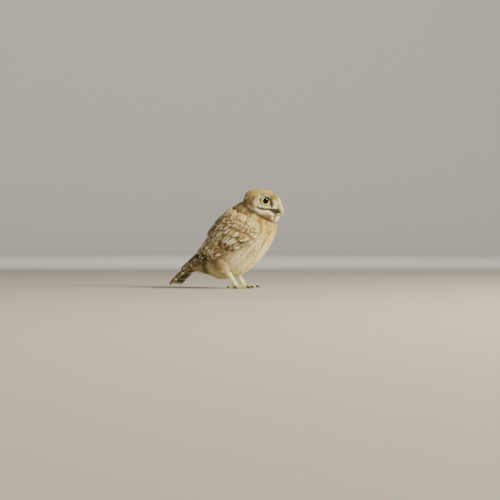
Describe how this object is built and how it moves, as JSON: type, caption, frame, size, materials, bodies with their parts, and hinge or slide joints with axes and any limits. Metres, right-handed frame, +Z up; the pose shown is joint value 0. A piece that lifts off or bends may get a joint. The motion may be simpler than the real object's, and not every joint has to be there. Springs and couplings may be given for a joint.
{
  "type": "little owl",
  "caption": "Life-size still model of a small, round-headed owl with feathered legs, standing upright on a floor with folded wings.",
  "frame": {"origin": "on the floor under the middle of the box round the whole bird", "axes": "+X the way the bird's body faces, +Y to the bird's left, +Z up from the floor it stands on"},
  "size_m": [0.1944, 0.0872, 0.1571],
  "materials": {
    "plumage": "matt, soft",
    "pale plumage": "matt, soft",
    "flight feathers": "matt",
    "iris and cornea": "wet gloss",
    "bill horn": "satin",
    "shank feathering": "matt, soft",
    "claw horn": "satin"
  },
  "bodies": {
    "root": {"torso": "pale plumage", "neck": "plumage", "head": "plumage", "eye_left": "iris and cornea", "eye_right": "iris and cornea", "bill_upper": "bill horn", "bill_lower": "bill horn", "wing_left": "flight feathers", "wing_right": "flight feathers", "tail": "flight feathers", "thigh_left": "pale plumage", "thigh_right": "pale plumage", "shank_left": "shank feathering", "shank_right": "shank feathering", "foot_left": "shank feathering", "foot_right": "shank feathering", "claw_left_inner": "claw horn", "claw_left_middle": "claw horn", "claw_left_outer": "claw horn", "claw_left_hind": "claw horn", "claw_right_inner": "claw horn", "claw_right_middle": "claw horn", "claw_right_outer": "claw horn", "claw_right_hind": "claw horn"}
  },
  "joints": []
}
